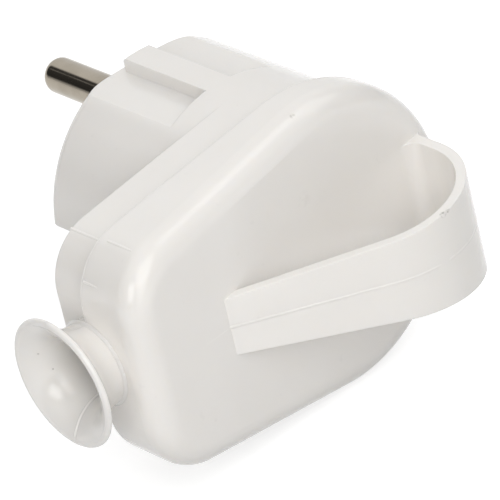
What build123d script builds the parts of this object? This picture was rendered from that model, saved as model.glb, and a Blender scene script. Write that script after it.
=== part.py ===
from build123d import *
import os
from math import cos, radians, sin, tan

# Contact pins, from the standard for 16 A plugs with side earth contacts
pin_d = 4.8
pin_length = 18.6
pin_pitch = 19.0
pin_tip_r = 1.7
pin_seat_step = 0.35
pin_seat_proud = 0.3
pin_head_d = 7.6
pin_head_flats = 6.4
pin_head_length = 14.0
wire_hole_d = 3.2
wire_hole_inset = 3.1
tap_past_hole = 0.6

# Front shell: round plug body
body_r = 18.25
body_edge_r = 2.0
body_wall = 2.4
front_wall = 4.0
flat_half = 16.2
flat_length = 17.7
rib_w = 4.0
rib_setback = 1.1
rib_end_r = 0.6
pin_boss_d = 11.0
pin_boss_length = 9.0

# Front shell: flange that tapers toward the cord
flange_front = 22.1
flange_depth = 7.0
flange_floor = 2.3
taper = 8.4
cord_end = 33.2
corner_r = 7.4
lip_height = 1.5
lip_wall = 1.2

# Rear shell
cap_proud = 1.6
cap_corner_extra = 1.2
cap_wall = 2.2
cap_edge_r = 3.2
cap_rim_r = 0.4
cap_head_depth = 4.6
back_tilt = 6.1
seam = 0.04

# Bell-mouthed cord entry, split by the seam of the shells
bore_r = 4.2
neck_r = 5.6
neck_straight = 0.3
bell_length = 5.5
bell_r = 8.85
bell_lip = 0.9

# Handle strap
strap_root_x = 20.4
strap_rise = 31.0
strap_bend_r = 12.0
strap_head_inset = 3.8
strap_t = 1.3
strap_root_w = 7.9
strap_head_w = 14.2
strap_fillet = 1.8
strap_outer_fillet = 1.1

# Earth strap and its side contacts
earth_t = 0.8
earth_w = 3.7
earth_plate_w = 9.0
contact_x = 16.4
contact_bow = 1.2
contact_tip = 2.2
recess_floor_x = 15.25
recess_w = 4.4
recess_wall = 2.45

# Screws and nut
thread_d = 3.5
screw_head_h = 2.0
slot_w = 0.8
slot_depth = 0.9
head_chamfer = 0.4
terminal_head_d = 5.6
terminal_gap = 1.2
earth_screw_x = 9.0
earth_head_d = 5.8
earth_screw_length = 6.0
earth_washer_w = 6.2
earth_washer_t = 1.0
earth_collar_d = 5.4
earth_collar_h = 2.0
housing_head_d = 6.6
housing_head_h = 2.4
housing_head_sink = 0.6
housing_thread_past_nut = 2.0
boss_d = 8.0
boss_length = 14.2
rear_boss_d = 10.4
nut_w = 5.8
nut_t = 2.6
nut_pocket_depth = 3.0

# Cord clamp
clamp_x = 25.5
clamp_pitch = 17.2
clamp_post_d = 5.6
clamp_post_length = 6.8
clamp_w = 6.5
clamp_t = 2.2
clamp_end = 2.6
clamp_arch = 0.8
clamp_screw_d = 3.0
clamp_head_d = 5.4
clamp_bite = 5.5

# Clearances
fit = 0.1
thread_fit = 0.05
screw_hole_play = 0.4
lip_play = 0.15
seat_gap = 0.05
counterbore_play = 0.6

# Depths behind the engagement face that follow from the sizes above
parting = flange_front + flange_depth
cap_front = parting + seam
pin_head_end = front_wall + pin_head_length
pin_boss_end = front_wall + pin_boss_length
wire_hole_at = pin_head_end - wire_hole_inset
pin_seat_d = pin_d + 2 * pin_seat_step
earth_front = front_wall + boss_length
earth_back = earth_front + earth_t
rear_boss_end = earth_back + seat_gap
flange_inside = flange_front + flange_floor
clamp_seat = flange_inside + clamp_post_length
cap_r = body_r + cap_proud
cap_end = cord_end + cap_proud
cap_corner_r = corner_r + cap_corner_extra
screw_hole_d = thread_d + screw_hole_play
tap_d = thread_d + 2 * thread_fit
cavity_half = recess_floor_x - recess_wall
back_depth = cap_front + cap_head_depth + cap_r * tan(radians(back_tilt))
strap_head_x = cap_r - strap_head_inset
deepest = back_depth + cap_end * tan(radians(back_tilt)) + 10


def slab(sketch, start, end):
    """Solid of a sketch in X and Z, between two depths behind the engagement face."""
    return extrude(Plane.XZ.offset(start) * sketch, end - start)


def rod(x, z, diameter, start, end):
    """Round bar along the pin direction."""
    return slab(Pos(x, z) * Circle(diameter / 2), start, end)


def teardrop(head_r, end_x, radius):
    """Outline round about the plug's axis, with flanks that taper to a flat end toward the cord."""
    lean = radians(taper)
    cx = radius - end_x
    cz = (head_r - radius) / cos(lean) + cx * tan(lean)
    head = CenterArc((0, 0), head_r, 0, 90 + taper)
    corner = CenterArc((cx, cz), radius, 90 + taper, 90 - taper)
    half = Curve() + [head, Line(head @ 1, corner @ 0), corner, Line(corner @ 1, (-end_x, 0))]
    return make_face(half + mirror(half, Plane.XZ))


def back_plane(inset):
    """Plane of the back face, moved toward the pins by an inset."""
    lean = radians(back_tilt)
    return Plane((0, -back_depth + inset / cos(lean), 0), z_dir=(-sin(lean), cos(lean), 0))


def above(shape, plane):
    return split(shape, bisect_by=plane, keep=Keep.TOP)


def below(shape, plane):
    return split(shape, bisect_by=plane, keep=Keep.BOTTOM)


def slotted_screw(x, z, shank_d, head_d, head_h, head_at, tip_at):
    """Cheese-head screw whose head faces the rear, with a driver slot."""
    screw = rod(x, z, head_d, head_at, head_at + head_h) + rod(x, z, shank_d, tip_at, head_at)
    top = screw.faces().sort_by(Axis.Y)[0]
    screw = chamfer(top.edges(), head_chamfer)
    return screw - slab(Pos(x, z) * Rectangle(slot_w, head_d + 1), head_at + head_h - slot_depth, head_at + head_h)


# Bell-mouthed cord entry as one turned form, cut by the seam below
bell_x = cap_end + bell_length
root_x = cord_end - 0.2 * body_wall
flare_x = cap_end + neck_straight
outer_flare = TangentArc((-flare_x, neck_r), (-bell_x + 0.5 * bell_lip, bell_r), tangent=(-1, 0))
inner_flare = TangentArc((-cap_end, bore_r), (-bell_x, bell_r - bell_lip), tangent=(-1, 0))
rim = ThreePointArc(outer_flare @ 1, (-bell_x - 0.1 * bell_lip, bell_r - 0.3 * bell_lip), inner_flare @ 1)
bell_outline = Curve() + [
    Line((-root_x, neck_r), outer_flare @ 0),
    outer_flare,
    rim,
    inner_flare,
    Line(inner_flare @ 0, (-root_x, bore_r)),
    Line((-root_x, bore_r), (-root_x, neck_r)),
]
axis_y = Pos(0, -parting, 0)
bell = revolve(axis_y * make_face(bell_outline), Axis((0, -parting, 0), (1, 0, 0)))
bore = axis_y * Pos(-cord_end, 0, 0) * Rot(0, 90, 0) * Cylinder(bore_r, 4 * (body_wall + cap_proud))
bore = bore & axis_y * Pos(-cap_end - 5 + body_wall + cap_proud + 2, 0, 0) * Box(10, 30, 30)
whole = Rectangle(400, 400)

# Front shell: outer form
plug_body = slab(Circle(body_r), 0, flange_inside)
plug_body = fillet(plug_body.edges().group_by(Axis.Y)[-1], body_edge_r)
side = Pos(0, flat_half) * Rectangle(4 * body_r, body_r, align=(Align.CENTER, Align.MIN))
rib = slab(Circle(body_r) & Pos(0, body_r) * Rectangle(rib_w, body_r), rib_setback, flat_length)
crown = rib.edges().group_by(Axis.Y)[-1].sort_by(Axis.Z)[-1]
rib = fillet(crown, rib_end_r)
for turn in (0, 180):
    plug_body -= slab(Rot(0, 0, turn) * side, 0, flat_length)
    plug_body += Rot(0, turn, 0) * rib
flange = slab(teardrop(body_r, cord_end, corner_r), flange_front, parting)
front_shell = plug_body + flange + (bell & slab(whole, 0, parting))

# Front shell: hollow for the terminals and the cord
round_room = Circle(body_r - body_wall) & Rectangle(2 * cavity_half, 4 * body_r)
front_shell -= slab(round_room, front_wall, parting)
front_shell -= slab(teardrop(body_r - body_wall, cord_end - body_wall, corner_r - body_wall), flange_inside, parting)
lip_r = cap_r - cap_wall - lip_play
lip_end = cap_end - cap_wall - lip_play
lip_corner = cap_corner_r - cap_wall - lip_play
lip = teardrop(lip_r, lip_end, lip_corner) - teardrop(lip_r - lip_wall, lip_end - lip_wall, lip_corner - lip_wall)
front_shell += slab(lip, parting - 0.5 * flange_floor, parting + lip_height)

# Front shell: seats of the pins, the housing screw and the cord clamp
half_pitch = pin_pitch / 2
pin_head = Circle(pin_head_d / 2) & Rectangle(pin_head_flats, 2 * pin_head_d)
pin_pocket = Circle(pin_head_d / 2 + fit) & Rectangle(pin_head_flats + 2 * fit, 2 * pin_head_d)
room_wall = Circle(body_r - 0.5 * body_wall)
for z in (half_pitch, -half_pitch):
    front_shell += slab((Pos(0, z) * Circle(pin_boss_d / 2)) & room_wall, 0.5 * front_wall, pin_boss_end)
    front_shell -= slab(Pos(0, z) * pin_pocket, front_wall, pin_boss_end)
    front_shell -= rod(0, z, pin_seat_d + 2 * fit, 0, front_wall)
front_shell += rod(0, 0, boss_d, 0.5 * front_wall, earth_front)
front_shell -= rod(0, 0, screw_hole_d, 0, earth_front)
head_seat = housing_head_sink + housing_head_h
front_shell -= rod(0, 0, housing_head_d + counterbore_play, 0, head_seat)
half_clamp = clamp_pitch / 2
for z in (half_clamp, -half_clamp):
    front_shell += rod(-clamp_x, z, clamp_post_d, flange_front + 0.5 * flange_floor, clamp_seat)
    front_shell -= rod(-clamp_x, z, clamp_screw_d + 2 * thread_fit, clamp_seat - clamp_bite - 0.5, clamp_seat)

# Front shell: side recesses of the earth contacts and the way in for the strap
way = Rectangle(contact_x + 0.6 - cavity_half + 1, earth_w + 6 * fit, align=(Align.MIN, Align.CENTER))
recess = Rectangle(body_r, recess_w, align=(Align.MIN, Align.CENTER))
for turn in (0, 180):
    front_shell -= slab(Rot(0, 0, turn) * Pos(cavity_half - 1, 0) * way, earth_front - 0.3, parting + lip_height)
    front_shell -= slab(Rot(0, 0, turn) * Pos(recess_floor_x, 0) * recess, 0, earth_front - 0.3)
front_shell -= bore

# Rear shell: cap with a sloping, rounded back
cap = above(slab(teardrop(cap_r, cap_end, cap_corner_r), cap_front, deepest), back_plane(0))
cap = fillet(cap.faces().sort_by(Axis.Y)[0].edges(), cap_edge_r)
cap = fillet(cap.faces().sort_by(Axis.Y)[-1].edges(), cap_rim_r)
room = slab(teardrop(cap_r - cap_wall, cap_end - cap_wall, cap_corner_r - cap_wall), cap_front, deepest)
room = above(room, back_plane(cap_wall))
room = fillet(room.faces().sort_by(Axis.Y)[0].edges(), cap_edge_r - cap_wall)

# Rear shell: handle strap, a band that leaves the back at a slant and turns down to the head
rise = radians(strap_rise)
root_y = -back_depth - strap_root_x * tan(radians(back_tilt))
bend_x = strap_head_x - strap_bend_r
bend_y = root_y - (bend_x + strap_root_x) * tan(rise) + strap_bend_r / cos(rise)


def loop(radius):
    """Area inside the strap's outer or inner face, closed inside the cap."""
    arc = CenterArc((bend_x, bend_y), radius, 270 - strap_rise, 90 + strap_rise)
    start = arc @ 0 + Vector(-cos(rise), sin(rise)) * 3 * strap_root_x
    top = (bend_x + radius, -parting)
    return make_face(Curve() + [Line(start, arc @ 0), arc, Line(arc @ 1, top), Line(top, start)])


band = extrude(loop(strap_bend_r) - loop(strap_bend_r - strap_t), strap_head_w, both=True)
half_width = [
    (-2 * strap_root_x, strap_root_w / 2),
    (-strap_root_x, strap_root_w / 2),
    (strap_head_x, strap_head_w / 2),
    (strap_head_x + strap_t, strap_head_w / 2),
]
width = make_face(Polyline(*half_width, *[(x, -z) for x, z in reversed(half_width)], close=True))
band = below(band & slab(width, 0, 3 * deepest), back_plane(0.5 * cap_wall))
rear_shell = cap + band
inner_x = strap_head_x - strap_t
inner_y = -back_depth + inner_x * tan(radians(back_tilt))
corner = Vector(inner_x, inner_y, 0)
roots = [e for e in rear_shell.edges().filter_by(Axis.Z) if (e.center() - corner).length < 0.3]
rear_shell = fillet(roots, strap_fillet)
outer_y = -back_depth + strap_head_x * tan(radians(back_tilt))
outer_roots = [e for e in rear_shell.edges() if abs(e.center().X - strap_head_x) < 0.01]
outer_roots = [e for e in outer_roots if e.center().Y > outer_y - 0.01]
rear_shell = fillet(outer_roots, strap_outer_fillet)

# Rear shell: hollow, bell half and the boss that holds the nut
rear_shell -= room
rear_shell += bell & slab(whole, cap_front, deepest)
rear_boss = above(rod(0, 0, rear_boss_d, rear_boss_end, deepest), back_plane(0.5 * cap_wall))
rear_shell += rear_boss
screw_end = rear_boss_end + nut_pocket_depth + housing_thread_past_nut
rear_shell -= rod(0, 0, screw_hole_d, rear_boss_end, screw_end + 1)
rear_shell -= slab(Rectangle(nut_w + 2 * fit, nut_w + 2 * fit), rear_boss_end, rear_boss_end + nut_pocket_depth)
rear_shell -= bore

# Contact pins with their terminal heads
pins = []
terminal_screws = []
for z in (half_pitch, -half_pitch):
    shank = rod(0, z, pin_d, -pin_length, front_wall)
    shank = fillet(shank.edges().group_by(Axis.Y)[-1], pin_tip_r)
    pin = shank + rod(0, z, pin_seat_d, -pin_seat_proud, front_wall)
    pin += slab(Pos(0, z) * pin_head, front_wall, pin_head_end)
    pin -= Pos(0, -wire_hole_at, z) * Rot(0, 90, 0) * Cylinder(wire_hole_d / 2, 2 * pin_head_d)
    pin -= rod(0, z, tap_d, wire_hole_at - wire_hole_d / 2 - tap_past_hole, pin_head_end)
    pins.append(pin)
    head_at = pin_head_end + terminal_gap
    terminal_screws.append(slotted_screw(0, z, thread_d, terminal_head_d, screw_head_h, head_at, wire_hole_at))

# Earth strap: plate between the bosses, narrow arms and bowed side contacts
arm_x = contact_x - earth_t
plate_end = cavity_half - 4 * fit
bow_at = 0.5 * (earth_front + contact_tip)
outer_leg = Spline(
    (contact_x, -earth_back),
    (contact_x, -earth_front + 1),
    (contact_x + contact_bow, -bow_at),
    (contact_x - 0.2, -contact_tip),
)
inner_leg = Pos(-earth_t, 0) * outer_leg
leg = make_face(
    Curve() + [outer_leg, Line(outer_leg @ 1, inner_leg @ 1), inner_leg, Line(inner_leg @ 0, outer_leg @ 0)]
)
arms = extrude(leg, earth_w / 2, both=True)
arms += mirror(arms, Plane.YZ)
strip = Rectangle(2 * contact_x, earth_w)
plate = Pos(-plate_end, 0) * Rectangle(plate_end + rear_boss_d / 2, earth_plate_w, align=(Align.MIN, Align.CENTER))
earth_strap = slab(strip + plate, earth_front, earth_back) + arms
bends = [e for e in earth_strap.edges().filter_by(Axis.Z) if abs(e.center().Y + earth_back) < 0.01]
bends = [e for e in bends if abs(abs(e.center().X) - contact_x) < 0.01]
earth_strap = fillet(bends, 0.75 * earth_t)
earth_strap += rod(-earth_screw_x, 0, earth_collar_d, earth_front - earth_collar_h, earth_front)
earth_strap -= rod(-earth_screw_x, 0, tap_d, earth_front - earth_collar_h, earth_back)
earth_strap -= rod(0, 0, screw_hole_d + 2 * fit, earth_front, earth_back)
washer_back = earth_back + seat_gap + earth_washer_t
washer = Pos(-earth_screw_x, 0) * (Rectangle(earth_washer_w, earth_washer_w) - Circle(tap_d / 2 + fit))
earth_washer = slab(washer, earth_back + seat_gap, washer_back)
earth_screw = slotted_screw(
    -earth_screw_x, 0, thread_d, earth_head_d, screw_head_h, washer_back + seat_gap, washer_back - earth_screw_length
)

# Cord clamp and its screws
bridge = Rectangle(clamp_w, clamp_pitch + 2 * clamp_end)
cord_clamp = slab(Pos(-clamp_x, 0) * bridge, clamp_seat + seat_gap, clamp_seat + seat_gap + clamp_t)
saddle_r = (half_clamp - clamp_post_d / 2) ** 2 / (2 * clamp_arch) + clamp_arch / 2
saddle_at = -clamp_seat - seat_gap - clamp_arch + saddle_r
cord_clamp -= Pos(-clamp_x, saddle_at, 0) * Rot(0, 90, 0) * Cylinder(saddle_r, 2 * clamp_w)
cord_clamp = fillet(cord_clamp.edges().filter_by(Axis.Y), 1.5)
clamp_head_at = clamp_seat + 2 * seat_gap + clamp_t
clamp_screws = []
for z in (half_clamp, -half_clamp):
    cord_clamp -= rod(-clamp_x, z, clamp_screw_d + screw_hole_play, clamp_seat, clamp_head_at)
    tip_at = clamp_seat - clamp_bite
    clamp_screws.append(
        slotted_screw(-clamp_x, z, clamp_screw_d, clamp_head_d, 0.9 * screw_head_h, clamp_head_at, tip_at)
    )

# Housing screw from the front face and its square nut
housing_screw = rod(0, 0, housing_head_d, housing_head_sink, head_seat - seat_gap)
housing_screw = chamfer(housing_screw.edges().group_by(Axis.Y)[-1], head_chamfer)
housing_screw += rod(0, 0, thread_d, head_seat - seat_gap, screw_end)
housing_screw -= slab(Rectangle(slot_w, housing_head_d + 1), housing_head_sink, housing_head_sink + slot_depth)
nut_at = rear_boss_end + 0.5 * (nut_pocket_depth - nut_t)
housing_nut = slab(Rectangle(nut_w, nut_w) - Circle(tap_d / 2), nut_at, nut_at + nut_t)

os.makedirs("parts", exist_ok=True)
export_step(front_shell, "parts/front_shell.step")
export_step(rear_shell, "parts/rear_shell.step")
export_step(pins[0], "parts/contact_pin_upper.step")
export_step(pins[1], "parts/contact_pin_lower.step")
export_step(terminal_screws[0], "parts/terminal_screw_upper.step")
export_step(terminal_screws[1], "parts/terminal_screw_lower.step")
export_step(earth_strap, "parts/earth_strap.step")
export_step(earth_screw, "parts/earth_screw.step")
export_step(earth_washer, "parts/earth_washer.step")
export_step(cord_clamp, "parts/cord_clamp.step")
export_step(clamp_screws[0], "parts/clamp_screw_upper.step")
export_step(clamp_screws[1], "parts/clamp_screw_lower.step")
export_step(housing_screw, "parts/housing_screw.step")
export_step(housing_nut, "parts/housing_nut.step")
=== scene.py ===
"""Angled plug: finishes, mould marks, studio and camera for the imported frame."""
import logging
import math
from dataclasses import dataclass, field
from enum import Enum
from typing import Any, Optional, Sequence, Union

import bpy
from mathutils import Matrix, Vector


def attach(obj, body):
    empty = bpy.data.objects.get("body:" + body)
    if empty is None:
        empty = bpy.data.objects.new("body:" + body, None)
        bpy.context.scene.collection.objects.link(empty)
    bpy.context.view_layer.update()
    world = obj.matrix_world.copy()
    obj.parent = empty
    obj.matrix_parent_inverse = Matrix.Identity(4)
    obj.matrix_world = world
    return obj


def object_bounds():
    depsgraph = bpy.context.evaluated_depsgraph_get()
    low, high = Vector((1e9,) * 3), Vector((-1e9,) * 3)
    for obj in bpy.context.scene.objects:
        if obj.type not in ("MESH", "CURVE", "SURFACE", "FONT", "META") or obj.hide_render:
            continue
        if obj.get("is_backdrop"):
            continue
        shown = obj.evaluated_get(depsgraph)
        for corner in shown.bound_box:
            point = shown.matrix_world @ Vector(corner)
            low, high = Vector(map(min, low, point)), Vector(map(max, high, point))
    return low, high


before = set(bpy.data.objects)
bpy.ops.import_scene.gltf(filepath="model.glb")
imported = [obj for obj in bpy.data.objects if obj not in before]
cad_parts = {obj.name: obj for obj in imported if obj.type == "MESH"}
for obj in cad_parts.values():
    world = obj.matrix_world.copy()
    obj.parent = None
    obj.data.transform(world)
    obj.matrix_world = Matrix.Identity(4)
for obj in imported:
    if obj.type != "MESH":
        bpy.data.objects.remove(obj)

LOG = logging.getLogger("angled_plug")
MM = 0.001
Number = Union[int, float]
Point = tuple[float, float, float]
Band = tuple[float, float]
Colour = tuple[float, float, float, float]

WARM_WHITE: Colour = (0.888, 0.863, 0.829, 1.0)
CLOUD_WHITE: Colour = (0.870, 0.844, 0.808, 1.0)
# Lighter than the shell colour so that the mould ridges read as bright lines: a painted highlight.
RIDGE_HIGHLIGHT_WHITE: Colour = (0.930, 0.905, 0.870, 1.0)
BLACK: Colour = (0.0, 0.0, 0.0, 1.0)
WHITE: Colour = (1.0, 1.0, 1.0, 1.0)

BEVEL_SAMPLES = 8
SPOT_CORE = 0.35


class Grain(Enum):
    """Direction of the fine lines that a metal piece keeps from its making."""

    TURNED = (0.0, 1.0, 0.0)
    ROLLED = (0.0, 0.0, 1.0)
    CUT = (1.0, 0.0, 0.0)


class Blend(Enum):
    """Kinds of Mix node, with the places of their two inputs and their output."""

    RGBA = (6, 7, 2)
    VECTOR = (4, 5, 1)


class Sock:
    """A node socket that takes part in Python arithmetic."""

    def __init__(self, graph: "Graph", socket: bpy.types.NodeSocket) -> None:
        """Keep the graph and the output socket.

        Args:
            graph: the graph that new Math nodes go to.
            socket: the output socket to wrap.
        """
        self.graph = graph
        self.socket = socket

    def _math(self, operation: str, first: Any, second: Any) -> "Sock":
        """Add one Math node.

        Args:
            operation: Blender's name of the operation.
            first: left value or socket.
            second: right value or socket.

        Returns:
            The wrapped result.
        """
        return self.graph.make("ShaderNodeMath", {"operation": operation}, {0: first, 1: second})

    def __add__(self, other: Union["Sock", Number]) -> "Sock":
        """Sum."""
        return self._math("ADD", self, other)

    __radd__ = __add__

    def __sub__(self, other: Union["Sock", Number]) -> "Sock":
        """Difference."""
        return self._math("SUBTRACT", self, other)

    def __rsub__(self, other: Number) -> "Sock":
        """Difference from a number."""
        return self._math("SUBTRACT", other, self)

    def __mul__(self, other: Union["Sock", Number]) -> "Sock":
        """Product."""
        return self._math("MULTIPLY", self, other)

    __rmul__ = __mul__


class Graph:
    """The node tree of one material or of the world."""

    def __init__(self, holder: Union[bpy.types.Material, bpy.types.World]) -> None:
        """Start with an empty tree.

        Args:
            holder: the material or world that the tree belongs to.
        """
        holder.use_nodes = True
        self.holder = holder
        self.tree = holder.node_tree
        self.tree.nodes.clear()

    def make(self, kind: str, settings: dict[str, Any], inputs: dict[Any, Any], output: Any = 0) -> Sock:
        """Add a node.

        Args:
            kind: Blender's node type.
            settings: attributes of the node, set first.
            inputs: socket name or index to a value or a wrapped socket.
            output: name or index of the output to hand back.

        Returns:
            The wrapped output.
        """
        node = self.tree.nodes.new(kind)
        for key, value in settings.items():
            setattr(node, key, value)
        for key, value in inputs.items():
            if isinstance(value, Sock):
                self.tree.links.new(value.socket, node.inputs[key])
            else:
                node.inputs[key].default_value = value
        return Sock(self, node.outputs[output] if len(node.outputs) else None)

    def place(self) -> Sock:
        """Object coordinates."""
        return self.make("ShaderNodeTexCoord", {}, {}, "Object")

    def noise(self, vector: Sock, scale: float, detail: float, roughness: float = 0.5) -> Sock:
        """Noise texture.

        Args:
            vector: coordinates.
            scale: cells in a metre.
            detail: octaves.
            roughness: weight of the finer octaves.

        Returns:
            The noise value.
        """
        inputs = {"Vector": vector, "Scale": scale, "Detail": detail, "Roughness": roughness}
        return self.make("ShaderNodeTexNoise", {}, inputs, "Fac")

    def ramp(self, value: Sock, low: float, high: float, at_low: float = 0.0, at_high: float = 1.0) -> Sock:
        """Clamped linear map.

        Args:
            value: what is mapped.
            low: start of the range.
            high: end of the range.
            at_low: result at the start.
            at_high: result at the end.

        Returns:
            The mapped value.
        """
        inputs = {0: value, 1: low, 2: high, 3: at_low, 4: at_high}
        return self.make("ShaderNodeMapRange", {"clamp": True}, inputs)

    def blend(self, factor: Any, first: Any, second: Any, kind: Blend = Blend.RGBA) -> Sock:
        """Mix of two colours or vectors.

        Args:
            factor: zero gives the first, one the second.
            first: value or socket.
            second: value or socket.
            kind: what is mixed.

        Returns:
            The mixed value.
        """
        one, two, mixed = kind.value
        inputs = {0: factor, one: first, two: second}
        return self.make("ShaderNodeMix", {"data_type": kind.name}, inputs, mixed)

    def measure(self, operation: str, vector: Sock, other: Point) -> Sock:
        """Number that Vector Math gives for two vectors.

        Args:
            operation: Blender's name of the operation.
            vector: the first vector.
            other: the second vector.

        Returns:
            The wrapped number.
        """
        return self.make("ShaderNodeVectorMath", {"operation": operation}, {0: vector, 1: other}, "Value")

    def spot(self, vector: Sock, centre: Point, radius: float) -> Sock:
        """Soft round mask about a point.

        Args:
            vector: coordinates.
            centre: middle of the spot, in metres.
            radius: reach of the spot, in metres.

        Returns:
            One in the middle, zero outside.
        """
        away = self.measure("DISTANCE", vector, centre)
        return self.ramp(away, SPOT_CORE * radius, radius, 1.0, 0.0)

    def along(self, vector: Sock, way: Point) -> Sock:
        """Part of a vector that lies along a direction of length one."""
        return self.measure("DOT_PRODUCT", vector, way)

    def rounded(self, radius: float, share: float) -> Sock:
        """Normal that leans over the edges as if they were rounded.

        Args:
            radius: reach of the rounding in metres.
            share: how far the normal leans, from zero to one.

        Returns:
            The leaning normal.
        """
        edge = self.make("ShaderNodeBevel", {"samples": BEVEL_SAMPLES}, {"Radius": radius}, "Normal")
        flat = self.make("ShaderNodeNewGeometry", {}, {}, "Normal")
        return self.blend(share, flat, edge, Blend.VECTOR)

    def bump(self, height: Sock, distance: float, strength: float, normal: Optional[Sock] = None) -> Sock:
        """Bump from a height.

        Args:
            height: the height value.
            distance: height of one unit, in metres.
            strength: weight.
            normal: normal to start from.

        Returns:
            The bumped normal.
        """
        inputs: dict[Any, Any] = {"Height": height, "Distance": distance, "Strength": strength}
        if normal is not None:
            inputs["Normal"] = normal
        return self.make("ShaderNodeBump", {}, inputs, "Normal")

    def surface(self, inputs: dict[str, Any]) -> bpy.types.Material:
        """Close the graph with a Principled shader.

        Args:
            inputs: the shader's inputs.

        Returns:
            The finished material.
        """
        shader = self.make("ShaderNodeBsdfPrincipled", {}, inputs)
        self.make("ShaderNodeOutputMaterial", {}, {"Surface": shader})
        return self.holder


@dataclass(frozen=True)
class Blemish:
    """A small mark on a moulding, with the depth of its dent as a share of the grain."""

    centre: Point
    radius: float
    colour: Colour
    strength: float = 1.0
    dent: float = 6.0


@dataclass(frozen=True)
class MouldedPlastic:
    """Glossy moulded plastic that light enters a little, with cloudiness, grain and rounded edges.

    Lengths are in metres and scales in cells to the metre. A band is the part of a noise's range that counts.
    """

    name: str
    colour: Colour
    cloud: Colour
    gloss: float = 0.07
    edge: float = 0.22 * MM
    edge_share: float = 0.55
    depth: float = 0.20
    marks: tuple[Blemish, ...] = ()
    cloud_scale: float = 90.0
    cloud_band: Band = (0.35, 0.7)
    cloud_gloss_band: Band = (0.3, 0.75)
    cloud_gloss: float = 0.05
    fine_scale: float = 1400.0
    fine_share: float = 0.6
    fine_gloss: float = 0.03
    grain_scale: float = 5200.0
    grain_share: float = 0.4
    grain_height: float = 0.002 * MM
    speck_scale: float = 760.0
    speck_band: Band = (0.735, 0.77)
    speck_share: float = 0.35
    speck_shade: float = 0.93
    mark_band: Band = (0.35, 0.6)
    sink_scale: float = 130.0
    sink_height: float = 0.04 * MM
    bump_share: float = 0.5
    refraction: float = 1.49
    scatter: Point = (1.0, 0.9, 0.75)
    scatter_reach: float = 1.6 * MM

    def material(self) -> bpy.types.Material:
        """Build the material.

        Returns:
            The material.
        """
        graph = Graph(bpy.data.materials.new(self.name))
        place = graph.place()
        cloud = graph.noise(place, self.cloud_scale, 4.0)
        fine = graph.noise(place, self.fine_scale, 2.0)
        grain = graph.noise(place, self.grain_scale, 1.0)
        specks = graph.ramp(graph.noise(place, self.speck_scale, 1.0), *self.speck_band)
        tint = graph.blend(graph.ramp(cloud, *self.cloud_band), self.colour, self.cloud)
        shade = tuple(self.speck_shade * part for part in self.colour[:3]) + (1.0,)
        tint = graph.blend(specks * self.speck_share, tint, shade)
        height = self.fine_share * fine + self.grain_share * grain
        for mark in self.marks:
            spot = graph.spot(place, mark.centre, mark.radius)
            mask = spot * graph.ramp(fine, *self.mark_band) * mark.strength
            tint = graph.blend(mask, tint, mark.colour)
            height = height - mark.dent * spot
        clouded = self.gloss + self.cloud_gloss * graph.ramp(cloud, *self.cloud_gloss_band)
        rough = clouded + self.fine_gloss * fine
        edges = graph.rounded(self.edge, self.edge_share) if self.edge > 0.0 else None
        normal = graph.bump(height, self.grain_height, self.bump_share, edges)
        sink = graph.bump(graph.noise(place, self.sink_scale, 2.0), self.sink_height, self.bump_share, normal)
        return graph.surface({
            "Base Color": tint,
            "Roughness": rough,
            "Normal": sink,
            "IOR": self.refraction,
            "Subsurface Weight": self.depth,
            "Subsurface Radius": self.scatter,
            "Subsurface Scale": self.scatter_reach,
        })


@dataclass(frozen=True)
class PlatedMetal:
    """Plated metal with fine making lines and a slight haze, sized as the plastic is."""

    name: str
    colour: Colour
    haze: Colour
    grain: Grain
    rough: float = 0.16
    pitch: float = 0.16 * MM
    relief: float = 0.006 * MM
    line_scale: float = 60.0
    line_band: Band = (0.35, 0.7)
    line_rough: float = 0.4
    line_bump: float = 0.45
    haze_scale: float = 240.0
    haze_band: Band = (0.42, 0.72)
    haze_share: float = 0.8
    haze_rough: float = 0.6
    edge: float = 0.15 * MM
    edge_share: float = 0.6

    def material(self) -> bpy.types.Material:
        """Build the material.

        Returns:
            The material.
        """
        graph = Graph(bpy.data.materials.new(self.name))
        place = graph.place()
        stretch = tuple(1.0 / self.pitch if part else self.line_scale for part in self.grain.value)
        lined = graph.make("ShaderNodeMapping", {"vector_type": "POINT"}, {"Vector": place, "Scale": stretch})
        lines = graph.noise(lined, 1.0, 2.0)
        cloud = graph.noise(place, self.haze_scale, 4.0, 0.6)
        smear = graph.ramp(cloud, *self.haze_band)
        tint = graph.blend(smear * self.haze_share, self.colour, self.haze)
        hazed = self.rough + self.haze_rough * self.rough * smear
        rough = hazed + self.line_rough * self.rough * graph.ramp(lines, *self.line_band)
        edges = graph.rounded(self.edge, self.edge_share)
        normal = graph.bump(lines, self.relief, self.line_bump, edges)
        return graph.surface({"Base Color": tint, "Metallic": 1.0, "Roughness": rough, "Normal": normal})


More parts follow.
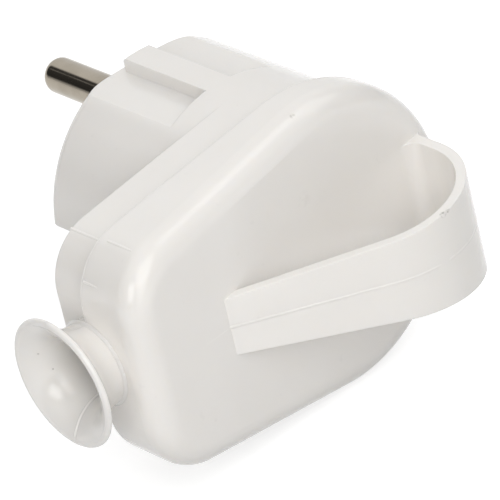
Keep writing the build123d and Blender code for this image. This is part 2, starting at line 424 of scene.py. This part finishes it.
class BeadTree:
    """Geometry Nodes tree that lays a fine bead along a curve."""

    def __init__(self, material: bpy.types.Material) -> None:
        """Build the tree.

        Args:
            material: finish of the bead.
        """
        tree = bpy.data.node_groups.new("bead_along_path", "GeometryNodeTree")
        face = tree.interface
        face.new_socket("Geometry", in_out="INPUT", socket_type="NodeSocketGeometry")
        radius = face.new_socket("Bead radius", in_out="INPUT", socket_type="NodeSocketFloat")
        sides = face.new_socket("Bead sides", in_out="INPUT", socket_type="NodeSocketInt")
        shade = face.new_socket("Bead smooth", in_out="INPUT", socket_type="NodeSocketBool")
        face.new_socket("Geometry", in_out="OUTPUT", socket_type="NodeSocketGeometry")
        self.tree = tree
        self.radius_id = radius.identifier
        self.sides_id = sides.identifier
        self.shade_id = shade.identifier
        start = tree.nodes.new("NodeGroupInput")
        profile = tree.nodes.new("GeometryNodeCurvePrimitiveCircle")
        sweep = tree.nodes.new("GeometryNodeCurveToMesh")
        sweep.inputs["Fill Caps"].default_value = True
        smooth = tree.nodes.new("GeometryNodeSetShadeSmooth")
        real = tree.nodes.new("GeometryNodeRealizeInstances")
        finish = tree.nodes.new("GeometryNodeSetMaterial")
        finish.inputs["Material"].default_value = material
        end = tree.nodes.new("NodeGroupOutput")
        link = tree.links.new
        link(start.outputs["Bead radius"], profile.inputs["Radius"])
        link(start.outputs["Bead sides"], profile.inputs["Resolution"])
        link(start.outputs["Geometry"], sweep.inputs["Curve"])
        link(profile.outputs["Curve"], sweep.inputs["Profile Curve"])
        link(sweep.outputs["Mesh"], smooth.inputs["Geometry"])
        link(start.outputs["Bead smooth"], smooth.inputs["Shade Smooth"])
        link(smooth.outputs["Geometry"], real.inputs["Geometry"])
        link(real.outputs["Geometry"], finish.inputs["Geometry"])
        link(finish.outputs["Geometry"], end.inputs["Geometry"])

    def lay(
        self, name: str, paths: Sequence[Sequence[Point]], radius: float,
        closed: bool = False, sides: int = 16, smooth: bool = True,
    ) -> bpy.types.Object:
        """Lay beads along paths and turn them into one plain mesh.

        Args:
            name: the piece's name.
            paths: points of each path, in metres.
            radius: bead radius in metres.
            closed: whether each path ends where it starts.
            sides: corners of the bead's section; four lay a flat slope into an inner corner.
            smooth: whether the shading runs on over the section's corners.

        Returns:
            The mesh object.
        """
        curve = bpy.data.curves.new(name + "_path", "CURVE")
        curve.dimensions = "3D"
        for points in paths:
            spline = curve.splines.new("POLY")
            spline.points.add(len(points) - 1)
            spline.use_cyclic_u = closed
            for slot, point in zip(spline.points, points):
                slot.co = (*point, 1.0)
        carrier = bpy.data.objects.new(name + "_path", curve)
        bpy.context.scene.collection.objects.link(carrier)
        modifier = carrier.modifiers.new("bead", "NODES")
        modifier.node_group = self.tree
        modifier[self.radius_id] = radius
        modifier[self.sides_id] = sides
        modifier[self.shade_id] = smooth
        graph = bpy.context.evaluated_depsgraph_get()
        mesh = bpy.data.meshes.new_from_object(carrier.evaluated_get(graph))
        mesh.name = name
        carrier.modifiers.remove(modifier)
        bpy.data.objects.remove(carrier)
        piece = bpy.data.objects.new(name, mesh)
        bpy.context.scene.collection.objects.link(piece)
        return piece


@dataclass(frozen=True)
class Ridge:
    """Fine ridge that a mould leaves: its radius and how far it stands out, in millimetres."""

    radius: float
    proud: float

    def under(self, spot: Vector, out: Vector, share: float = 1.0) -> Point:
        """Centre of the ridge below a point of the surface.

        Args:
            spot: the point in millimetres.
            out: the surface's normal there.
            share: how much of the ridge stands out, from zero to one.

        Returns:
            The centre in metres.
        """
        return tuple((spot - out.normalized() * (self.radius - share * self.proud)) * MM)


@dataclass
class Housing:
    """Front shell, rear shell with its handle strap, and the fine ridges their moulds leave, coloured lighter
    than the shells as a painted highlight.

    Sizes are in millimetres and angles in degrees. A run gives depths behind the front of flange or cap.
    """

    parting: float = 29.1
    flange_front: float = 22.1
    flange_end: float = 33.2
    flange_radius: float = 18.25
    flange_corner: float = 7.4
    taper: float = 8.4
    cap_front: float = 29.14
    cap_end: float = 34.8
    cap_radius: float = 19.85
    cap_corner: float = 8.6
    cap_head: float = 4.6
    back_tilt: float = 6.1
    bore_radius: float = 4.2
    neck_radius: float = 5.6
    bell_length: float = 5.5
    bell_mouth: float = 7.95
    bell_clear: float = 0.1
    strap_root: float = 20.4
    strap_rise: float = 31.0
    strap_bend: float = 12.0
    strap_inset: float = 3.8
    strap_foot: float = 1.0
    trace: float = 5.8
    trace_share: float = 0.5
    corner_mark: float = 24.6
    side_mark: float = 63.6
    flange_run: Band = (-0.2, 3.5)
    cap_run: tuple[float, ...] = (1.6, 4.0, 6.2)
    side_run: tuple[float, ...] = (0.5, 1.6, 3.0)
    run_out: float = 0.35
    strap_ridge: Ridge = Ridge(0.42, 0.04)
    corner_ridge: Ridge = Ridge(0.30, 0.07)
    seam_ridge: Ridge = Ridge(0.26, 0.09)
    collar: float = 0.34
    rim_line: float = 0.12
    box_margin: float = 0.01
    trace_steps: int = 6
    bend_steps: int = 60
    seam_steps: int = 16
    rim_steps: int = 240
    collar_steps: int = 72
    plastic: MouldedPlastic = field(default_factory=lambda: MouldedPlastic(
        "shell_plastic", WARM_WHITE, CLOUD_WHITE, marks=(
            Blemish((-0.03893, -0.02349, 0.00179), 0.20 * MM, (0.38, 0.36, 0.33, 1.0)),
            Blemish((-0.03781, -0.02414, -0.00081), 0.15 * MM, (0.42, 0.40, 0.36, 1.0), 0.7),
        )))
    cap_plastic: MouldedPlastic = field(default_factory=lambda: MouldedPlastic(
        "cap_plastic", WARM_WHITE, CLOUD_WHITE, 0.10, marks=(
            Blemish((-0.00188, -0.03456, 0.01924), 0.45 * MM, (0.45, 0.42, 0.37, 1.0)),
            Blemish((0.00540, -0.05063, 0.00615), 0.58 * MM, (0.20, 0.18, 0.15, 1.0)),
            Blemish((0.00630, -0.05050, 0.00620), 0.40 * MM, (0.28, 0.25, 0.21, 1.0)),
            Blemish((-0.00410, -0.03630, 0.00908), 1.30 * MM, (0.70, 0.67, 0.63, 1.0), 0.22, 0.0),
            Blemish((-0.03490, -0.03500, 0.00030), 0.28 * MM, (0.95, 0.94, 0.92, 1.0), 1.0, 0.0),
        )))
    # Finish of the mould ridges, lighter than the shells so that they read as bright lines: a painted
    # highlight.
    painted_ridge_highlight: MouldedPlastic = field(default_factory=lambda: MouldedPlastic(
        "ridge_plastic_painted_highlight", RIDGE_HIGHLIGHT_WHITE, WARM_WHITE, edge=0.0, depth=0.0))

    def back_at(self, x: float) -> float:
        """Y of the back face over a given X, in millimetres."""
        slope = math.tan(math.radians(self.back_tilt))
        return -self.cap_front - self.cap_head + (x - self.cap_radius) * slope

    def corner_centre(self, head: float, end: float, corner: float) -> tuple[float, float]:
        """Centre of an upper corner of the outline.

        Args:
            head: radius of the outline's round head.
            end: distance of the outline's flat end.
            corner: radius of the corner.

        Returns:
            X and Z in millimetres.
        """
        lean = math.radians(self.taper)
        x = corner - end
        return x, (head - corner) / math.cos(lean) + x * math.tan(lean)

    def strap_path(self) -> list[Point]:
        """Line in the middle plane that starts faintly on the back and runs along the strap.

        Where the bend reaches farthest the ridge sinks in, which keeps it inside the solid's box.

        Returns:
            Points in metres.
        """
        tilt = math.radians(self.back_tilt)
        rise = math.radians(self.strap_rise)
        ridge = self.strap_ridge
        root = Vector((-self.strap_root, self.back_at(-self.strap_root), 0.0))
        path = []
        for step in range(self.trace_steps + 1):
            x = root.x - self.trace * (1 - step / self.trace_steps)
            spot = Vector((x, self.back_at(x), 0.0))
            out = Vector((math.sin(tilt), -math.cos(tilt), 0.0))
            path.append(ridge.under(spot, out, self.trace_share * step / self.trace_steps))
        head = self.cap_radius - self.strap_inset
        middle = Vector((head - self.strap_bend, 0.0, 0.0))
        middle.y = root.y - (middle.x - root.x) * math.tan(rise) + self.strap_bend / math.cos(rise)
        for step in range(self.bend_steps + 1):
            angle = 1.5 * math.pi - rise + (0.5 * math.pi + rise) * step / self.bend_steps
            out = Vector((math.cos(angle), math.sin(angle), 0.0))
            spot = middle + out * self.strap_bend
            room = spot.y - middle.y + self.strap_bend - self.box_margin
            share = 1.0 if out.y >= 0.0 else min(1.0, room / (ridge.proud * -out.y))
            path.append(ridge.under(spot, out, share))
        foot = Vector((head, self.back_at(head) - self.strap_foot, 0.0))
        path.append(ridge.under(foot, Vector((1.0, 0.0, 0.0))))
        return path

    def corner_path(self, outline: Sequence[float], mark: float, depths: Sequence[float]) -> list[Point]:
        """Line across a rounded corner of the outline, along the pin direction, that fades at its back end.

        Args:
            outline: radius of the round head, distance of the flat end and radius of the corner.
            mark: place of the line on the corner, in degrees from straight up.
            depths: depths behind the engagement face.

        Returns:
            Points in metres.
        """
        turn = math.radians(mark)
        cx, cz = self.corner_centre(*outline)
        out = Vector((-math.sin(turn), 0.0, math.cos(turn)))
        points = []
        for index, depth in enumerate(depths):
            spot = Vector((cx, -depth, cz)) + out * outline[2]
            share = self.run_out if index == len(depths) - 1 else 1.0
            points.append(self.corner_ridge.under(spot, out, share))
        return points

    def corner_paths(self) -> list[list[Point]]:
        """Lines across flange and cap where the mould parts at the corners, above and below.

        Returns:
            Paths in metres.
        """
        flange = (self.flange_radius, self.flange_end, self.flange_corner)
        cap = (self.cap_radius, self.cap_end, self.cap_corner)
        flange_depths = [self.flange_front + run for run in self.flange_run] + [self.parting]
        upper = [self.corner_path(flange, self.corner_mark, flange_depths)]
        for mark, runs in ((self.corner_mark, self.cap_run), (self.side_mark, self.side_run)):
            upper.append(self.corner_path(cap, mark, [self.cap_front + run for run in runs]))
        lower = [[(x, y, -z) for x, y, z in path] for path in upper]
        return upper + lower

    def seam_path(self) -> list[Point]:
        """Ridge on the front half of the bell, beside the lower seam.

        Returns:
            Points in metres.
        """
        ridge = self.seam_ridge
        widen = self.bell_mouth - self.bore_radius
        curve = (self.bell_length ** 2 + widen ** 2) / (2 * widen)
        path = []
        for step in range(self.seam_steps + 1):
            run = (self.bell_length - self.bell_clear) * step / self.seam_steps
            slope = run / curve
            fall = math.sqrt(1.0 - slope ** 2)
            reach = self.bore_radius + curve * (1.0 - fall)
            spot = Vector((-self.cap_end - run, -self.parting + ridge.radius, -reach))
            path.append(ridge.under(spot, Vector((-slope, 0.0, fall))))
        return path

    def rim_path(self) -> list[Point]:
        """Front edge of the cap, from one side of the neck around the head to the other.

        Returns:
            Points in metres.
        """
        lean = math.radians(self.taper)
        inset = self.rim_line + self.box_margin
        cx, cz = self.corner_centre(self.cap_radius, self.cap_end, self.cap_corner)
        depth = -self.cap_front - inset
        start = self.neck_radius + self.collar
        path = [(inset - self.cap_end, depth, start)]
        for step in range(self.rim_steps + 1):
            turn = math.pi * (1.0 - 2 * step / self.rim_steps)
            headed = abs(turn) <= 0.5 * math.pi + lean
            x, z = (0.0, 0.0) if headed else (cx, math.copysign(cz, turn))
            reach = (self.cap_radius if headed else self.cap_corner) - inset
            path.append((x + reach * math.cos(turn), depth, z + reach * math.sin(turn)))
        path.append((inset - self.cap_end, depth, -start))
        return [tuple(part * MM for part in point) for point in path]

    def collar_path(self) -> list[Point]:
        """Corner between the cap's end wall and the neck.

        Returns:
            Points in metres.
        """
        middle = Vector((-self.cap_end, -self.parting, 0.0))
        ring = []
        for step in range(self.collar_steps):
            angle = 2 * math.pi * step / self.collar_steps
            out = Vector((0.0, math.cos(angle), math.sin(angle)))
            ring.append(tuple((middle + out * self.neck_radius) * MM))
        return ring

    def dress(self) -> None:
        """Give the shells their finish and lay the ridges."""
        paint("front_shell", self.plastic.material())
        cap = self.cap_plastic.material()
        paint("rear_shell", cap)
        # The ridges take the lighter finish, a painted highlight.
        beads = BeadTree(self.painted_ridge_highlight.material())
        fills = BeadTree(cap)
        collar = [self.collar_path()]
        pieces = [
            beads.lay("mould_line", [self.strap_path()], self.strap_ridge.radius * MM),
            beads.lay("corner_lines", self.corner_paths(), self.corner_ridge.radius * MM),
            beads.lay("bell_seam", [self.seam_path()], self.seam_ridge.radius * MM),
            fills.lay("cap_rim", [self.rim_path()], self.rim_line * MM, sides=12),
            fills.lay("neck_collar", collar, self.collar * MM, closed=True, sides=4, smooth=False),
        ]
        for piece in pieces:
            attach(piece, "root")
            LOG.info("made %s with %d faces", piece.name, len(piece.data.polygons))


@dataclass
class Contacts:
    """Contact pins and the earth strap with its side contacts."""

    pin_metal: PlatedMetal = field(default_factory=lambda: PlatedMetal(
        "pin_nickel", (0.385, 0.345, 0.285, 1.0), (0.325, 0.290, 0.235, 1.0),
        Grain.TURNED, 0.09, relief=0.002 * MM))
    strip_metal: PlatedMetal = field(default_factory=lambda: PlatedMetal(
        "earth_strip_nickel", (0.64, 0.62, 0.58, 1.0), (0.54, 0.50, 0.44, 1.0), Grain.ROLLED, 0.24))

    def dress(self) -> None:
        """Give the live pieces their finish."""
        pin = self.pin_metal.material()
        paint("contact_pin_upper", pin)
        paint("contact_pin_lower", pin)
        paint("earth_strap", self.strip_metal.material())


@dataclass
class Fixings:
    """Screws, washer, nut and the cord clamp."""

    screw_metal: PlatedMetal = field(default_factory=lambda: PlatedMetal(
        "screw_zinc", (0.60, 0.61, 0.62, 1.0), (0.50, 0.50, 0.48, 1.0), Grain.CUT, 0.26))
    clamp_plastic: MouldedPlastic = field(default_factory=lambda: MouldedPlastic(
        "clamp_plastic", (0.70, 0.69, 0.66, 1.0), (0.66, 0.65, 0.62, 1.0), 0.40))
    screws: tuple[str, ...] = (
        "terminal_screw_upper", "terminal_screw_lower", "earth_screw", "earth_washer",
        "clamp_screw_upper", "clamp_screw_lower", "housing_screw", "housing_nut",
    )

    def dress(self) -> None:
        """Give the fixings their finish."""
        zinc = self.screw_metal.material()
        for name in self.screws:
            paint(name, zinc)
        paint("cord_clamp", self.clamp_plastic.material())


@dataclass(frozen=True)
class Softbox:
    """Square soft lamp: its place and side in metres and its power in watts."""

    name: str
    place: Point
    side: float
    power: float


@dataclass
class Studio:
    """Pale floor, soft light and the camera of the photograph.

    The camera's lengths are in millimetres and its angles in degrees. Lamps and floor are in metres.
    A way is a direction in the surroundings, and a reach the cosines between which a patch fades in.
    """

    pivot: Point = (-5.0, -18.0, 0.0)
    azimuth: float = -33.913
    elevation: float = 29.369
    roll: float = -13.66
    distance: float = 745.749
    focal_px: float = 5955.83
    shift_mm: tuple[float, float] = (3.75, -2.959)
    frame_px: float = 500.0
    sensor: float = 36.0
    clip_near: float = 0.01
    clip_far: float = 20.0
    upward: Point = (0.0, 0.0, 1.0)
    sky_reach: Band = (0.0, 0.9)
    horizon: float = 0.142
    zenith: float = 0.288
    backdrop_way: Point = (0.22, 0.96, 0.17)
    backdrop_reach: Band = (0.40, 0.72)
    backdrop: float = 0.82
    gap_way: Point = (-0.455, 0.780, 0.427)
    gap_reach: Band = (0.906, 0.943)
    gap_level: float = 0.06
    streak_way: Point = (-0.378, 0.723, 0.577)
    streak_reach: Band = (0.9975, 0.9995)
    streak: float = 0.50
    floor_reach: float = 3.0
    floor_scale: float = 6.0
    floor_dark: Colour = (0.54, 0.54, 0.54, 1.0)
    floor_light: Colour = (0.56, 0.56, 0.56, 1.0)
    floor_rough: float = 0.8
    floor_lift: float = 0.68
    aim: Point = (-0.005, -0.02, 0.0)
    lamps: tuple[Softbox, ...] = (
        Softbox("left_softbox", (-0.505, -0.255, 0.235), 0.27, 0.76),
        Softbox("front_softbox", (-0.173, -0.410, 0.424), 0.44, 1.23),
        Softbox("low_front_softbox", (-0.222, -0.550, 0.180), 0.34, 0.58),
        Softbox("top_softbox", (0.223, -0.146, 0.540), 0.16, 0.11),
        Softbox("upper_right_softbox", (0.385, -0.182, 0.426), 0.36, 0.42),
        Softbox("right_softbox", (0.511, -0.020, 0.306), 0.60, 0.16),
        Softbox("overhead_softbox", (-0.035, 0.040, 0.596), 0.44, 0.22),
    )

    def axes(self) -> tuple[Vector, Vector, Vector]:
        """Work out how the camera is turned.

        Returns:
            Right, up and backward directions of the camera.
        """
        a, e, r = (math.radians(v) for v in (self.azimuth, self.elevation, self.roll))
        back = Vector((math.sin(a) * math.cos(e), -math.cos(a) * math.cos(e), math.sin(e)))
        level = Vector((math.cos(a), math.sin(a), 0.0))
        rise = back.cross(level)
        right = math.cos(r) * level + math.sin(r) * rise
        up = math.cos(r) * rise - math.sin(r) * level
        return right, up, back

    def camera(self) -> None:
        """Make the camera and look through it."""
        right, up, back = self.axes()
        eye = Vector(self.pivot) + right * self.shift_mm[0] + up * self.shift_mm[1] + back * self.distance
        data = bpy.data.cameras.new("photo_camera")
        data.sensor_width = self.sensor
        data.sensor_fit = "HORIZONTAL"
        data.lens = self.focal_px / self.frame_px * data.sensor_width
        data.clip_start = self.clip_near
        data.clip_end = self.clip_far
        camera = bpy.data.objects.new("photo_camera", data)
        turn = Matrix((right, up, back)).transposed().to_4x4()
        camera.matrix_world = Matrix.Translation(eye * MM) @ turn
        bpy.context.scene.collection.objects.link(camera)
        bpy.context.scene.camera = camera

    def light(self, box: Softbox) -> None:
        """Hang a soft lamp that points at the plug.

        Args:
            box: the lamp.
        """
        data = bpy.data.lights.new(box.name, "AREA")
        data.shape = "SQUARE"
        data.size = box.side
        data.energy = box.power
        lamp = bpy.data.objects.new(box.name, data)
        way = Vector(self.aim) - Vector(box.place)
        lamp.rotation_euler = way.to_track_quat("-Z", "Y").to_euler()
        lamp.location = box.place
        bpy.context.scene.collection.objects.link(lamp)

    def floor(self, height: float) -> None:
        """Lay a pale floor that looks white and keeps the plug's shadow.

        Args:
            height: Z of the floor in metres.
        """
        mesh = bpy.data.meshes.new("floor")
        reach = self.floor_reach
        corners = [(x * reach, y * reach, height) for x, y in ((-1, -1), (1, -1), (1, 1), (-1, 1))]
        mesh.from_pydata(corners, [], [(0, 1, 2, 3)])
        floor = bpy.data.objects.new("floor", mesh)
        bpy.context.scene.collection.objects.link(floor)
        graph = Graph(bpy.data.materials.new("pale_floor"))
        soft = graph.noise(graph.place(), self.floor_scale, 2.0)
        tint = graph.blend(soft, self.floor_dark, self.floor_light)
        seen = graph.make("ShaderNodeLightPath", {}, {}, "Is Camera Ray")
        for way in ("Is Glossy Ray", "Is Transmission Ray"):
            seen = seen + graph.make("ShaderNodeLightPath", {}, {}, way)
        lift = graph.blend(seen, BLACK, WHITE)
        floor.data.materials.append(graph.surface({
            "Base Color": tint,
            "Roughness": self.floor_rough,
            "Emission Color": lift,
            "Emission Strength": self.floor_lift,
        }))
        floor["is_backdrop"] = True

    def world(self) -> None:
        """Soft surroundings, brighter overhead, and a pale backdrop with a dark gap that the pins reflect."""
        world = bpy.data.worlds.new("studio")
        bpy.context.scene.world = world
        graph = Graph(world)
        way = graph.make("ShaderNodeTexCoord", {}, {}, "Generated")
        sky = graph.ramp(graph.along(way, self.upward), *self.sky_reach, self.horizon, self.zenith)
        backdrop = graph.ramp(graph.along(way, self.backdrop_way), *self.backdrop_reach, 0.0, self.backdrop)
        gap = graph.ramp(graph.along(way, self.gap_way), *self.gap_reach, 1.0, self.gap_level)
        streak = graph.ramp(graph.along(way, self.streak_way), *self.streak_reach, 0.0, self.streak)
        level = (sky + backdrop) * gap + streak
        glow = graph.make("ShaderNodeBackground", {}, {"Color": level})
        graph.make("ShaderNodeOutputWorld", {}, {"Surface": glow})

    def build(self, height: float) -> None:
        """Set up floor, light and camera.

        Args:
            height: Z of the floor in metres.
        """
        bpy.context.scene.view_settings.view_transform = "Standard"
        self.camera()
        self.floor(height)
        self.world()
        for box in self.lamps:
            self.light(box)


def paint(node: str, material: bpy.types.Material) -> None:
    """Give a CAD node one material.

    Args:
        node: the node's name.
        material: its finish.
    """
    slots = bpy.data.objects[node].data.materials
    if len(slots):
        for index in range(len(slots)):
            slots[index] = material
    else:
        slots.append(material)
    LOG.info("painted %s with %s", node, material.name)


def main() -> None:
    """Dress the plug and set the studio."""
    logging.basicConfig(level=logging.INFO, format="%(name)s: %(message)s")
    solid_box = [list(corner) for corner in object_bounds()]
    Studio().build(solid_box[0][2])
    Housing().dress()
    Contacts().dress()
    Fixings().dress()


if __name__ == "__main__":
    main()
